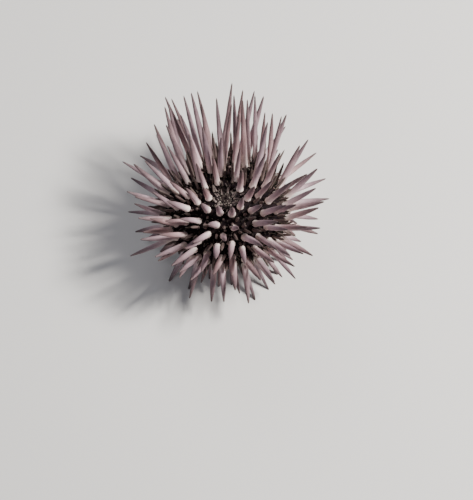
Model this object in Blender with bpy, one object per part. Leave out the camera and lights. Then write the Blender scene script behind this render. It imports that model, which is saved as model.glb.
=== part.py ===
"""A rock-boring sea urchin, life size, standing on the tips of its lower spines.

Metres, +Z up, the floor at z = 0. The oval test is longest along X, from ambulacrum I at +X to
interambulacrum 3 at -X. The test is parted into its five ambulacra and five interambulacra, each with
the spines that grow on it, round a core that shows as the apical disc above and the mouth below.
"""

import math
import random
from dataclasses import dataclass

import bmesh
import bpy
import numpy as np
from mathutils import Vector

MM = 0.001
SEED = 7

# The test, the rigid oval body inside the spines
TEST_LENGTH = 44.5 * MM
TEST_WIDTH = 41 * MM
DOME_HEIGHT = 12 * MM  # from the widest level, the ambitus, up to the apical disc
UNDERSIDE_DEPTH = 8.5 * MM  # from the ambitus down to the mouth
AMBITUS_LEVEL = 15.5 * MM  # above the floor
PART_GAP = 0.34 * MM  # between neighbouring nodes

# Its ten zones: narrow ambulacra centred on 0, 72, ... degrees, and wider interambulacra between them
ZONE_COUNT = 10
AMBULACRUM_SPAN = math.radians(32)
INTERAMBULACRUM_SPAN = math.radians(40)

# The round openings of the test, and what closes them
APICAL_RADIUS = 4.6 * MM
PERIPROCT_RADIUS = 2 * MM
PERISTOME_RADIUS = 8.8 * MM
PERISTOME_DEPTH = 2.6 * MM
MOUTH_RADIUS = 2.1 * MM
PLATE_RISE = 0.35 * MM
PLATE_DEPTH = 1.4 * MM
MADREPORITE_ZONE = 3
GENITAL_HALF_SPAN = math.radians(21)  # of a large plate of the disc
OCULAR_HALF_SPAN = math.radians(9)  # and of a small one

# Spines
SPINE_RADIUS = 1.12 * MM  # of a large spine's shaft, near its root
SMALL_SPINE_RADIUS = 0.58 * MM
COLUMN_OFFSETS = (-0.36, -0.18, 0.0, 0.18, 0.36)  # of columns of places in a zone, in shares of its span
ROW_SPACING = 1.5 * MM  # of the places along a column, at the ambitus
LARGE_SPACING = 4 * MM  # least distance between the roots of large spines on the dome
AMBITUS_SPACING = 3.15 * MM  # and at the ambitus and below it
SMALL_SPOT_STEP = 5  # one in so many of the places that a large spine leaves gets a small one
SIDE_REACH = 16.8 * MM  # length of the large spines at the sides
FRONT_REACH = 19.8 * MM  # of those in front, towards -Y
BACK_REACH = 26.5 * MM  # and of those that sweep back, towards +Y
LIFT = math.radians(41)  # elevation of the spines that grow on the ambitus
COLUMN_LEAN = math.radians(8)  # by turns to either side, down a column
SPINE_SINK = 1.3 * MM
RING_HEIGHT = 1 * MM  # of the ring that swells a large spine's base, above the test
SPINE_CLEARANCE = 0.45 * MM  # between shafts
ROOT_CLEARANCE = 0.5 * MM
SPINE_SIDES = 5
FOOT_SLOPE = math.radians(38)  # spines that point down more steeply than this stand on the floor

SPINE_COLOUR = (0.36, 0.24, 0.25, 1)
SKIN_COLOUR = (0.035, 0.022, 0.028, 1)
PLATE_COLOUR = (0.09, 0.06, 0.065, 1)
TOOTH_COLOUR = (0.78, 0.74, 0.66, 1)


@dataclass
class Spine:
    zone: int
    root: np.ndarray
    normal: np.ndarray
    way: np.ndarray
    length: float
    radius: float
    foot: bool = False


def smooth(value):
    """0 to 1 with a level start and end, for values from 0 to 1."""
    held = min(1.0, max(0.0, value))
    return held * held * (3 - 2 * held)


def half_height(latitude):
    return DOME_HEIGHT if latitude >= 0 else UNDERSIDE_DEPTH


def surface_point(longitude, latitude):
    """The point of the test at a longitude and a latitude, which is 0 at the ambitus."""
    round_out = math.cos(latitude)
    return np.array(
        (
            TEST_LENGTH / 2 * round_out * math.cos(longitude),
            TEST_WIDTH / 2 * round_out * math.sin(longitude),
            AMBITUS_LEVEL + half_height(latitude) * math.sin(latitude),
        )
    )


def surface_normal(longitude, latitude):
    steep = np.array(
        (
            math.cos(latitude) * math.cos(longitude) / TEST_LENGTH * 2,
            math.cos(latitude) * math.sin(longitude) / TEST_WIDTH * 2,
            math.sin(latitude) / half_height(latitude),
        )
    )
    return steep / np.linalg.norm(steep)


def latitude_at(radius, above=True):
    """The latitude where the test is this far from its axis, measured along X."""
    return math.acos(2 * radius / TEST_LENGTH) * (1 if above else -1)


def level_at(radius, above=True):
    latitude = latitude_at(radius, above)
    return AMBITUS_LEVEL + half_height(latitude) * math.sin(latitude)


def zone_centre(zone):
    return zone * math.tau / ZONE_COUNT


def zone_span(zone):
    return INTERAMBULACRUM_SPAN if zone % 2 else AMBULACRUM_SPAN


def zone_name(zone):
    """Loven's numbers: ambulacra I to V, and interambulacra 1 to 5, each after its ambulacrum."""
    if zone % 2:
        return f"interambulacrum_{zone // 2 + 1}"
    return "ambulacrum_" + ("I", "II", "III", "IV", "V")[zone // 2]


def column_latitudes(start):
    """Where the spines of one column stand, from the apical disc down to the mouth."""
    latitude = latitude_at(APICAL_RADIUS + 1.9 * MM)
    end = latitude_at(PERISTOME_RADIUS + 1.9 * MM, above=False)
    advance = start
    while True:
        crowding = 1 - 0.22 * smooth(abs(latitude) / math.radians(70))
        stretch = math.hypot(
            TEST_LENGTH / 2 * math.sin(latitude),
            half_height(latitude) * math.cos(latitude),
        )
        latitude -= advance * ROW_SPACING * crowding / stretch
        if latitude < end:
            return
        yield latitude
        advance = 1


def lie(longitude, latitude, normal):
    """Heading and steepness of a spine: lifted off the test's normal, and combed back behind."""
    steep = math.asin(normal[2])
    share = abs(steep) / (math.pi / 2)
    if steep > 0:
        steep = LIFT + (math.pi / 2 - LIFT) * share**2.6
    else:
        steep += LIFT * (1 - share)
    heading = math.atan2(normal[1], normal[0])
    backward = smooth((math.sin(longitude) - 0.05) / 0.7)
    comb = 0.34 + 0.36 * smooth(math.cos(longitude) + 0.5)
    heading += comb * backward * smooth(latitude + 0.6) * (math.pi / 2 - heading)
    return heading, steep


def spine_length(longitude, latitude):
    backward = smooth((math.sin(longitude) + 0.1) / 1.0)
    forward = smooth(-math.sin(longitude))
    reach = SIDE_REACH + (BACK_REACH - SIDE_REACH) * backward + (FRONT_REACH - SIDE_REACH) * forward
    if latitude > 0:
        return reach * (1 - 0.42 * smooth((latitude - 0.8) / 0.6))
    return reach * (1 - 0.55 * smooth(-latitude / 0.6))


def pointed(heading, steep):
    return np.array(
        (
            math.cos(steep) * math.cos(heading),
            math.cos(steep) * math.sin(heading),
            math.sin(steep),
        )
    )


def grown(zone, longitude, latitude, radius, share, lean, chance):
    """A spine at a place on the test, a share of the full length, leaning to one side of its column."""
    root = surface_point(longitude, latitude)
    normal = surface_normal(longitude, latitude)
    heading, steep = lie(longitude, latitude, normal)
    heading += lean + chance.uniform(-0.08, 0.08)
    steep += chance.uniform(-0.1, 0.1)
    way = pointed(heading, steep)
    length = spine_length(longitude, latitude) * share * chance.uniform(0.9, 1.08)
    foot = steep < -FOOT_SLOPE and share == 1
    if way[2] < 0 and not foot:
        length = min(length, (root[2] - 1.5 * MM) / -way[2])
    return Spine(zone, root, normal, way, length, radius, foot)


def from_cuts(spine):
    """How far a spine's root stands from the two cuts that part its zone from the next ones."""
    turn = math.atan2(spine.root[1] * TEST_LENGTH / TEST_WIDTH, spine.root[0])
    turn = (turn - zone_centre(spine.zone) + math.pi) % math.tau - math.pi
    across_cut = zone_span(spine.zone) / 2 - abs(turn)
    return math.sin(across_cut) * math.hypot(spine.root[0], spine.root[1])


def fits(spine, others):
    """Whether a spine's root has room. The large ones stand further apart on the dome."""
    if from_cuts(spine) < spine.radius + PART_GAP:
        return False
    on_dome = smooth((spine.normal[2] - 0.2) / 0.5)
    apart = AMBITUS_SPACING + (LARGE_SPACING - AMBITUS_SPACING) * on_dome
    for other in others:
        room = spine.radius + other.radius + ROOT_CLEARANCE
        if min(spine.radius, other.radius) > SMALL_SPINE_RADIUS:
            room = apart
        if np.linalg.norm(spine.root - other.root) < room:
            return False
    return True


def planted():
    """The spines, from the apical disc down: large ones first, then small ones where they fit."""
    chance = random.Random(SEED)
    places = []
    for zone in range(ZONE_COUNT):
        for column, offset in enumerate(COLUMN_OFFSETS):
            for row, latitude in enumerate(column_latitudes(0.5 * (column % 2))):
                longitude = zone_centre(zone) + zone_span(zone) * offset + chance.uniform(-0.015, 0.015)
                places.append((latitude + chance.uniform(-0.03, 0.03), longitude, zone, row + column))
    places.sort(reverse=True)
    spines, spots = [], []
    for latitude, longitude, zone, number in places:
        radius = SPINE_RADIUS * (1 - 0.36 * smooth(-latitude / 1.1)) * chance.uniform(0.84, 1.08)
        lean = (-COLUMN_LEAN, COLUMN_LEAN)[number % 2]
        spine = grown(zone, longitude, latitude, radius, 1, lean, chance)
        if fits(spine, spines):
            spines.append(spine)
        elif latitude > -0.6:
            spots.append((zone, longitude, latitude))
    for zone, longitude, latitude in spots[::SMALL_SPOT_STEP]:
        spine = grown(zone, longitude, latitude, SMALL_SPINE_RADIUS, 0.42, 0, chance)
        if fits(spine, spines):
            spines.append(spine)
    return spines


def thickness(share):
    """A large spine's radius along it, as a share of the radius at its ring."""
    return np.clip(1 - np.abs(share) ** 2.3, 0, 1) ** 0.85


def clear_of_each_other(spines, rounds=80):
    """Turns spines about their roots until none comes within SPINE_CLEARANCE of another."""
    first, second = np.triu_indices(len(spines), 1)
    roots = np.array([spine.root for spine in spines])
    ways = np.array([spine.way for spine in spines])
    lengths = np.array([spine.length for spine in spines])
    radii = np.array([spine.radius for spine in spines])
    feet = np.array([spine.foot for spine in spines])
    apart = roots[first] - roots[second]
    for _ in range(rounds):
        lengths[feet] = -roots[feet, 2] / ways[feet, 2]
        along = np.einsum("ij,ij->i", ways[first], ways[second])
        on_first = np.einsum("ij,ij->i", ways[first], apart)
        on_second = np.einsum("ij,ij->i", ways[second], apart)
        spread = np.maximum(1 - along**2, 1e-9)
        at_first = np.clip((along * on_second - on_first) / spread, 0, lengths[first])
        at_second = np.clip(along * at_first + on_second, 0, lengths[second])
        at_first = np.clip(along * at_second - on_first, 0, lengths[first])
        between = (
            apart
            + ways[first] * at_first[:, None]
            - ways[second] * at_second[:, None]
        )
        distance = np.linalg.norm(between, axis=1)
        filled = radii[first] * thickness(at_first / lengths[first])
        filled += radii[second] * thickness(at_second / lengths[second])
        short = SPINE_CLEARANCE - (distance - filled)
        close = np.nonzero(short > 0)[0]
        if not len(close):
            break
        push = between[close] / np.maximum(distance[close], 1e-6)[:, None]
        push *= (short[close] * 0.6)[:, None]
        for index, pair, at, sign in (
            (first, close, at_first, 1),
            (second, close, at_second, -1),
        ):
            arm = np.maximum(at[pair], 0.35 * lengths[index[pair]])
            np.add.at(ways, index[pair], sign * push / arm[:, None])
        ways /= np.linalg.norm(ways, axis=1)[:, None]
    for spine, way, length in zip(spines, ways, lengths):
        spine.way, spine.length = way, length
    crossed = set()
    for pair in close:
        i, j = first[pair], second[pair]
        if short[pair] > 0.6 * SPINE_CLEARANCE:
            crossed.add(i if radii[i] < radii[j] else j)
    return [spine for number, spine in enumerate(spines) if number not in crossed]


def across(way):
    """Two directions square to a spine and to each other, alike for like spines."""
    level = Vector((-way[1], way[0], 0))
    if level.length < 1e-3:
        level = Vector((1, 0, 0))
    level.normalize()
    return level, Vector(way).cross(level)


def ring_points(centre, way, radius, sides):
    level, upright = across(way)
    turns = [math.tau * k / sides for k in range(sides)]
    return [
        Vector(centre) + (level * math.cos(turn) + upright * math.sin(turn)) * radius
        for turn in turns
    ]


def on_floor(points, way):
    """The points slid along a spine's way to the floor, which cuts its tip to a small flat."""
    return [point - Vector(way) * (point.z / way[2]) for point in points]


def mesh_object(name, bm, collection):
    bmesh.ops.recalc_face_normals(bm, faces=bm.faces)
    mesh = bpy.data.meshes.new(name)
    bm.to_mesh(mesh)
    bm.free()
    made = bpy.data.objects.new(name, mesh)
    collection.objects.link(made)
    return made


def closed_tube(rings, tip=None):
    """A bmesh skinned over rings of points, closed by faces or drawn to a tip."""
    bm = bmesh.new()
    loops = [[bm.verts.new(point) for point in ring] for ring in rings]
    bm.faces.new(loops[0])
    for lower, upper in zip(loops, loops[1:]):
        for k in range(len(lower)):
            after = (k + 1) % len(lower)
            bm.faces.new((lower[k], lower[after], upper[after], upper[k]))
    if tip is None:
        bm.faces.new(loops[-1])
    else:
        point = bm.verts.new(tip)
        for k in range(len(loops[-1])):
            bm.faces.new((loops[-1][k], loops[-1][(k + 1) % len(loops[-1])], point))
    return bm


def spine_solid(spine, collection):
    """A sunken root, the swollen ring above it, a stout shaft, and a point, or a foot on the floor."""
    root, way = spine.root, spine.way
    large = spine.radius > SMALL_SPINE_RADIUS
    sides = SPINE_SIDES if large else 4
    sink = min(SPINE_SINK, 2.2 * spine.radius)
    stages = [
        (-sink, 0.8),
        (RING_HEIGHT, 1.22),
        (0.5 * spine.length, 0.84),
        (0.82 * spine.length, 0.46),
    ]
    if not large:
        stages = [(-sink, 1.0), (0.6 * spine.length, 0.85)]
    rings = [
        ring_points(root + way * at, way, spine.radius * share, sides)
        for at, share in stages
    ]
    if spine.foot:
        foot = ring_points(root - way * root[2] / way[2], way, spine.radius * 0.5, sides)
        return mesh_object("spine", closed_tube(rings + [on_floor(foot, way)]), collection)
    tip = Vector(root + way * spine.length)
    return mesh_object("spine", closed_tube(rings, tip), collection)


def applied(target, modifier_type, **settings):
    """Adds a modifier, applies it, and leaves the object as a plain mesh."""
    modifier = target.modifiers.new(modifier_type.title(), modifier_type)
    for name, value in settings.items():
        setattr(modifier, name, value)
    graph = bpy.context.evaluated_depsgraph_get()
    shaped = bpy.data.meshes.new_from_object(target.evaluated_get(graph))
    target.modifiers.clear()
    target.data = shaped
    return target


def keep_largest(target):
    """Drops every closed surface of the mesh but the one with the most faces."""
    bm = bmesh.new()
    bm.from_mesh(target.data)
    unseen, shells = set(bm.faces), []
    while unseen:
        shell, reached = set(), [unseen.pop()]
        while reached:
            face = reached.pop()
            shell.add(face)
            for neighbour in {f for e in face.edges for f in e.link_faces}:
                if neighbour in unseen:
                    unseen.remove(neighbour)
                    reached.append(neighbour)
        shells.append(shell)
    largest = max(shells, key=len)
    dropped = [face for face in bm.faces if face not in largest]
    bmesh.ops.delete(bm, geom=dropped, context="FACES")
    bm.to_mesh(target.data)
    bm.free()


def joined(target, pieces):
    """One Boolean union of the target with every object of a collection, which is then removed."""
    applied(
        target,
        "BOOLEAN",
        operation="UNION",
        operand_type="COLLECTION",
        collection=pieces,
        solver="MANIFOLD",
    )
    keep_largest(target)
    for piece in list(pieces.objects):
        bpy.data.objects.remove(piece)
    bpy.data.collections.remove(pieces)
    return target


def cut(target, cutter):
    applied(target, "BOOLEAN", operation="DIFFERENCE", object=cutter, solver="MANIFOLD")
    bpy.data.objects.remove(cutter)
    return target


def turned(name, outline, steps, collection):
    """A solid of revolution about Z from an outline of (radius, level), made oval like the test."""
    bm = bmesh.new()
    points = [bm.verts.new((radius, 0, level)) for radius, level in outline]
    profile = bm.faces.new(points)
    bmesh.ops.spin(
        bm,
        geom=[profile, *profile.edges, *profile.verts],
        cent=(0, 0, 0),
        axis=(0, 0, 1),
        angle=math.tau,
        steps=steps,
        use_merge=True,
    )
    inner = [face for face in bm.faces if abs(face.normal.z) < 1e-6 and len(face.verts) > 4]
    bmesh.ops.delete(bm, geom=inner, context="FACES_ONLY")
    bmesh.ops.remove_doubles(bm, verts=bm.verts, dist=1e-6)
    bmesh.ops.dissolve_degenerate(bm, edges=bm.edges, dist=1e-7)
    bmesh.ops.scale(bm, verts=bm.verts, vec=(1, TEST_WIDTH / TEST_LENGTH, 1))
    return mesh_object(name, bm, collection)


def material(name, colour, roughness):
    made = bpy.data.materials.new(name)
    made.use_nodes = True
    shader = made.node_tree.nodes["Principled BSDF"]
    shader.inputs["Base Color"].default_value = colour
    shader.inputs["Roughness"].default_value = roughness
    return made


def test_outline():
    """Half of the test's section, from the apical rim round the ambitus to the mouth, and the core."""
    top, bottom = latitude_at(APICAL_RADIUS + PART_GAP), latitude_at(PERISTOME_RADIUS + PART_GAP, False)
    steps = 15
    outline = []
    for k in range(steps + 1):
        latitude = top + (bottom - top) * k / steps
        radius = TEST_LENGTH / 2 * math.cos(latitude)
        outline.append((radius, AMBITUS_LEVEL + half_height(latitude) * math.sin(latitude)))
    socket = level_at(PERISTOME_RADIUS, above=False) + PERISTOME_DEPTH
    outline.append((PERISTOME_RADIUS + PART_GAP, socket + PART_GAP))
    outline.append((APICAL_RADIUS + PART_GAP, socket + PART_GAP))
    return outline


def parted(name, whole, start, end, collection):
    """The stretch of a turned ring between two longitudes, less half a gap at each cut."""
    bm = bmesh.new()
    bm.from_mesh(whole.data)
    squeeze = TEST_WIDTH / TEST_LENGTH
    for longitude, side in ((start, -1), (end, 1)):
        way = Vector((math.cos(longitude), squeeze * math.sin(longitude), 0)).normalized()
        out = Vector((-way.y, way.x, 0)) * side
        bmesh.ops.bisect_plane(
            bm,
            geom=[*bm.verts, *bm.edges, *bm.faces],
            plane_co=-out * PART_GAP / 2,
            plane_no=out,
            clear_outer=True,
        )
        bmesh.ops.holes_fill(bm, edges=[e for e in bm.edges if e.is_boundary])
    bmesh.ops.triangulate(bm, faces=[f for f in bm.faces if len(f.verts) > 4])
    return mesh_object(name, bm, collection)


def zones(spines, finish, collection):
    """The ten zones of the test, each with its spines."""
    whole = turned("test", test_outline(), 40, collection)
    made = []
    for zone in range(ZONE_COUNT):
        centre, half = zone_centre(zone), zone_span(zone) / 2
        body = parted(zone_name(zone), whole, centre - half, centre + half, collection)
        grove = bpy.data.collections.new("spines")
        collection.children.link(grove)
        for spine in spines:
            if spine.zone == zone:
                spine_solid(spine, grove)
        joined(body, grove)
        body.data.materials.append(finish)
        made.append(body)
    bpy.data.objects.remove(whole)
    return made


def plate_solid(name, centre, half_span, inner, outer, top, bottom, collection):
    """A plate of the apical disc: a stretch of a ring, a little smaller at its top."""
    rings = []
    for level, trim in ((bottom, 0.0), (top - 0.12 * MM, 0.0), (top, 0.16 * MM)):
        ring = []
        for radius, way in ((inner + trim, -1), (outer - trim, 1)):
            for k in range(3):
                turn = half_span * (k - 1) * way * (1 - trim / radius)
                spot = (math.cos(centre + turn), math.sin(centre + turn))
                ring.append(
                    Vector((radius * spot[0], radius * spot[1] * TEST_WIDTH / TEST_LENGTH, level))
                )
        rings.append(ring)
    return mesh_object(name, closed_tube(rings), collection)


def apical_plates(pieces):
    """Four genital plates and five ocular plates. The fifth genital plate is the madreporite."""
    level = level_at(APICAL_RADIUS) - 0.5 * MM
    top = level_at(APICAL_RADIUS) + PLATE_RISE
    for zone in range(ZONE_COUNT):
        if zone == MADREPORITE_ZONE:
            continue
        genital = zone % 2 == 1
        half_span = GENITAL_HALF_SPAN if genital else OCULAR_HALF_SPAN
        inner = PERIPROCT_RADIUS + (0.45 if genital else 1.2) * MM
        plate_solid(
            "plate", zone_centre(zone), half_span, inner, APICAL_RADIUS - 0.15 * MM, top, level, pieces
        )


def apical_spines():
    """Short spines on the apical disc, clear of the madreporite."""
    chance = random.Random(SEED + 1)
    made = []
    for zone in range(ZONE_COUNT):
        if zone == MADREPORITE_ZONE:
            continue
        away = 0.12 * ((zone > MADREPORITE_ZONE) - (zone < MADREPORITE_ZONE))
        spots = ((3.3 * MM, -0.16), (4 * MM, 0.2)) if zone % 2 else ((3.9 * MM, away),)
        for radius, aside in spots:
            turn = zone_centre(zone) + aside
            latitude = latitude_at(radius)
            root = surface_point(turn, latitude)
            normal = surface_normal(turn, latitude)
            way = pointed(turn + chance.uniform(-0.5, 0.5), chance.uniform(1.2, 1.45))
            made.append(
                Spine(zone, root, normal, way, chance.uniform(2.8, 4.4) * MM, 0.36 * MM)
            )
    return made


def apical_disc(finish, collection):
    """The ring of plates round the anus, on the core of the test."""
    top = level_at(APICAL_RADIUS)
    core_foot = level_at(PERISTOME_RADIUS, above=False) + PERISTOME_DEPTH + PART_GAP
    socket = PERIPROCT_RADIUS + PART_GAP
    outline = [
        (APICAL_RADIUS, core_foot),
        (APICAL_RADIUS, top - 0.1 * MM),
        (APICAL_RADIUS - 0.1 * MM, top),
        (socket, level_at(socket)),
        (socket, top - PLATE_DEPTH),
        (0, top - PLATE_DEPTH),
        (0, core_foot),
    ]
    disc = turned("apical_disc", outline, 24, collection)
    notch = plate_solid(
        "notch",
        zone_centre(MADREPORITE_ZONE),
        GENITAL_HALF_SPAN + PART_GAP / (2.4 * MM),
        PERIPROCT_RADIUS - PART_GAP,
        APICAL_RADIUS + 2 * MM,
        top + 2 * MM,
        top - PLATE_DEPTH,
        collection,
    )
    cut(disc, notch)
    pieces = bpy.data.collections.new("plates")
    collection.children.link(pieces)
    apical_plates(pieces)
    for spine in apical_spines():
        spine_solid(spine, pieces)
    joined(disc, pieces)
    disc.data.materials.append(finish)
    return disc


def madreporite(finish, collection):
    """The sieve plate, a genital plate of its own beside interambulacrum 2."""
    top = level_at(APICAL_RADIUS)
    made = plate_solid(
        "madreporite",
        zone_centre(MADREPORITE_ZONE),
        GENITAL_HALF_SPAN,
        PERIPROCT_RADIUS + PART_GAP + 0.02 * MM,
        APICAL_RADIUS - 0.02 * MM,
        top + PLATE_RISE + 0.15 * MM,
        top - PLATE_DEPTH + PART_GAP,
        collection,
    )
    made.data.materials.append(finish)
    return made


def periproct(finish, collection):
    """The low cone of small plates round the anus."""
    top = level_at(PERIPROCT_RADIUS)
    foot = top - PLATE_DEPTH + 0.35 * MM
    outline = [
        (0, foot),
        (PERIPROCT_RADIUS, foot),
        (PERIPROCT_RADIUS, top),
        (1.3 * MM, top + 0.3 * MM),
        (0.6 * MM, top + 0.45 * MM),
        (0.35 * MM, top + 0.1 * MM),
        (0, top - 0.1 * MM),
    ]
    made = turned("periproct", outline, 16, collection)
    pieces = bpy.data.collections.new("anal_plates")
    collection.children.link(pieces)
    count = 9
    for k in range(count):
        turn = math.tau * k / count
        bm = bmesh.new()
        bmesh.ops.create_icosphere(bm, subdivisions=1, radius=0.42 * MM)
        bmesh.ops.scale(bm, vec=(1, 1, 0.6), verts=bm.verts)
        spot = (1.15 * MM * math.cos(turn), 1.15 * MM * math.sin(turn) * TEST_WIDTH / TEST_LENGTH)
        bmesh.ops.translate(bm, vec=(*spot, top + 0.3 * MM), verts=bm.verts)
        mesh_object("plate", bm, pieces)
    joined(made, pieces)
    made.data.materials.append(finish)
    return made


def peristome(finish, collection):
    """The mouth's membrane with its ten buccal feet, and the lip round the teeth."""
    rim = level_at(PERISTOME_RADIUS, above=False)
    hole = MOUTH_RADIUS + PART_GAP
    outline = [
        (hole, rim - 0.5 * MM),
        (hole + 0.5 * MM, rim - 0.95 * MM),
        (hole + 1.2 * MM, rim - 0.6 * MM),
        (PERISTOME_RADIUS - 2 * MM, rim + 0.1 * MM),
        (PERISTOME_RADIUS, rim + 0.25 * MM),
        (PERISTOME_RADIUS, rim + PERISTOME_DEPTH),
        (hole, rim + PERISTOME_DEPTH),
    ]
    made = turned("peristome", outline, 24, collection)
    pieces = bpy.data.collections.new("buccal_feet")
    collection.children.link(pieces)
    for k in range(10):
        turn = zone_centre(2 * (k // 2)) + math.radians(11 if k % 2 else -11)
        radius = 5.4 * MM
        root = np.array(
            (radius * math.cos(turn), radius * math.sin(turn) * TEST_WIDTH / TEST_LENGTH, rim)
        )
        way = np.array((0.25 * math.cos(turn), 0.25 * math.sin(turn), -0.968))
        stages = ((-1.2, 0.42), (1.3, 0.36), (1.5, 0.55), (1.9, 0.5))
        rings = [ring_points(root + way * at * MM, way, share * MM, 5) for at, share in stages]
        mesh_object("foot", closed_tube(rings), pieces)
    joined(made, pieces)
    made.data.materials.append(finish)
    return made


def lantern_teeth(finish, collection):
    """Five teeth that meet under the mouth, on the end of the jaws."""
    rim = level_at(PERISTOME_RADIUS, above=False)
    outline = [
        (0, rim + PERISTOME_DEPTH),
        (0, rim - 0.2 * MM),
        (1.6 * MM, rim - 0.2 * MM),
        (MOUTH_RADIUS, rim + 0.3 * MM),
        (MOUTH_RADIUS, rim + PERISTOME_DEPTH),
    ]
    made = turned("lantern_teeth", outline, 20, collection)
    pieces = bpy.data.collections.new("teeth")
    collection.children.link(pieces)
    for k in range(5):
        turn = zone_centre(2 * k + 1)
        out = Vector((math.cos(turn), math.sin(turn), 0))
        side = Vector((-out.y, out.x, 0))
        rings = []
        for radius, level, width, depth in (
            (1.45, 0.9, 0.62, 0.5),
            (1.2, -0.9, 0.5, 0.42),
            (0.55, -1.9, 0.22, 0.24),
        ):
            centre = out * radius * MM + Vector((0, 0, rim + level * MM))
            rings.append(
                [
                    centre + out * depth * MM,
                    centre + side * width * MM,
                    centre - out * depth * MM * 0.7,
                    centre - side * width * MM,
                ]
            )
        mesh_object("tooth", closed_tube(rings), pieces)
    joined(made, pieces)
    made.data.materials.append(finish)
    return made


def stand_on_origin(nodes):
    """Moves all nodes level, so that the origin is under the middle of their box."""
    corners = np.array([v.co for node in nodes for v in node.data.vertices])
    middle = (corners.min(0) + corners.max(0)) / 2
    for node in nodes:
        for vertex in node.data.vertices:
            vertex.co.x -= middle[0]
            vertex.co.y -= middle[1]


def main():
    for thing in list(bpy.data.objects):
        bpy.data.objects.remove(thing)
    collection = bpy.context.scene.collection
    spiny = material("spine", SPINE_COLOUR, 0.55)
    skin = material("skin", SKIN_COLOUR, 0.6)
    plates = material("plate", PLATE_COLOUR, 0.6)
    enamel = material("tooth", TOOTH_COLOUR, 0.3)
    spines = clear_of_each_other(planted())
    nodes = zones(spines, spiny, collection)
    nodes.append(apical_disc(plates, collection))
    nodes.append(madreporite(plates, collection))
    nodes.append(periproct(plates, collection))
    nodes.append(peristome(skin, collection))
    nodes.append(lantern_teeth(enamel, collection))
    stand_on_origin(nodes)


main()
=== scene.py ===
# %% [markdown]
# # A rock-boring sea urchin
# This lesson dresses the solids of a sea urchin. The frame brings them in, in metres, with the floor
# at z = 0. The oval test, the animal's rigid body, is longest along X. Every large spine drawn here
# stands where one of the solids does. Their places could be read off the solids, but the layout that
# made them is exact, so it is worked out again from the same sizes.

# %% Frame
import math
import random
from dataclasses import dataclass

import bmesh
import bpy
import numpy as np
from mathutils import Matrix, Vector, noise


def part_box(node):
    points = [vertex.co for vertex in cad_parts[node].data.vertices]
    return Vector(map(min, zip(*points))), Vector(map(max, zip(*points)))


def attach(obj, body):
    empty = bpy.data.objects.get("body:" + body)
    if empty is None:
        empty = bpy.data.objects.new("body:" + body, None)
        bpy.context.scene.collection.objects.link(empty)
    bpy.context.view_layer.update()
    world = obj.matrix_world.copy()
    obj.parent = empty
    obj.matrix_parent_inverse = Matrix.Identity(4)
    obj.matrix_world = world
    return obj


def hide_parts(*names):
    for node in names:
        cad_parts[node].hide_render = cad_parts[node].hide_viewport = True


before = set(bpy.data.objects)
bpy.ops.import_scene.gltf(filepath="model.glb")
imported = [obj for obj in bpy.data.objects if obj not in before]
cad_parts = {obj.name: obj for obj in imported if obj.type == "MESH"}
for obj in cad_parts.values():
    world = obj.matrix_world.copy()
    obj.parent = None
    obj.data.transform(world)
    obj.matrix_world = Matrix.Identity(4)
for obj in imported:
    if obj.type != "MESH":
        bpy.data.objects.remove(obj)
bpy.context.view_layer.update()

# %% [markdown]
# ## Sizes
# The test is half an oval dome above its widest level, the ambitus, and a shallower one below.
# Ten zones run from top to bottom like the slices of an orange: five narrow ambulacra, which carry
# the tube feet, and five wider interambulacra between them.

# %% Sizes
MM = 0.001
SEED = 7
TEST_LENGTH = 44.5 * MM
TEST_WIDTH = 41 * MM
SQUEEZE = TEST_WIDTH / TEST_LENGTH
DOME_HEIGHT = 12 * MM
UNDERSIDE_DEPTH = 8.5 * MM
AMBITUS_LEVEL = 15.5 * MM
PART_GAP = 0.34 * MM
ZONE_COUNT = 10
AMBULACRUM_SPAN = math.radians(32)
INTERAMBULACRUM_SPAN = math.radians(40)
APICAL_RADIUS = 4.6 * MM
PERIPROCT_RADIUS = 2 * MM
PERISTOME_RADIUS = 8.8 * MM
MOUTH_RADIUS = 2.1 * MM
MADREPORITE_ZONE = 3
print("test", TEST_LENGTH, "x", TEST_WIDTH, "m")

# %% [markdown]
# ## Places on the test
# A longitude and a latitude name a place on the test, as on a globe, and the latitude is 0 at the
# ambitus. The point and the normal there come from formulas, which the skin, the spines and the tube
# feet all share, so that nothing floats above the skin or sinks into it.


# %% Points and normals of the test
def smooth(value):
    """0 to 1 with a level start and end, for values from 0 to 1."""
    held = min(1.0, max(0.0, value))
    return held * held * (3 - 2 * held)


def off_by(turn):
    """How far a turn is from 0, the shorter way round."""
    return (turn + math.pi) % math.tau - math.pi


def half_height(latitude):
    return DOME_HEIGHT if latitude >= 0 else UNDERSIDE_DEPTH


def level_of(latitude):
    return AMBITUS_LEVEL + half_height(latitude) * math.sin(latitude)


def surface_point(longitude, latitude):
    x = TEST_LENGTH / 2 * math.cos(latitude) * math.cos(longitude)
    y = TEST_WIDTH / 2 * math.cos(latitude) * math.sin(longitude)
    return np.array((x, y, level_of(latitude)))


def surface_normal(longitude, latitude):
    x = math.cos(latitude) * math.cos(longitude) / TEST_LENGTH * 2
    y = math.cos(latitude) * math.sin(longitude) / TEST_WIDTH * 2
    steep = np.array((x, y, math.sin(latitude) / half_height(latitude)))
    return steep / np.linalg.norm(steep)


def ring_point(radius, longitude, level):
    """A point this far from the axis of the test, measured along X, at a level."""
    return np.array((radius * math.cos(longitude), radius * math.sin(longitude) * SQUEEZE, level))


def latitude_at(radius, above=True):
    """The latitude where the test is this far from its axis, measured along X."""
    return math.acos(2 * radius / TEST_LENGTH) * (1 if above else -1)


DISC_LEVEL = level_of(latitude_at(APICAL_RADIUS))
RIM_LEVEL = level_of(latitude_at(PERISTOME_RADIUS, above=False))
print("disc at", round(DISC_LEVEL / MM, 2), "mm, rim of the mouth at", round(RIM_LEVEL / MM, 2), "mm")

# %% [markdown]
# ## Zones
# The ambulacra have Roman numbers and the interambulacra plain ones, as in books on sea urchins. Both
# are counted round the test from +X. These names are also the names of the solids.


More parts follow.
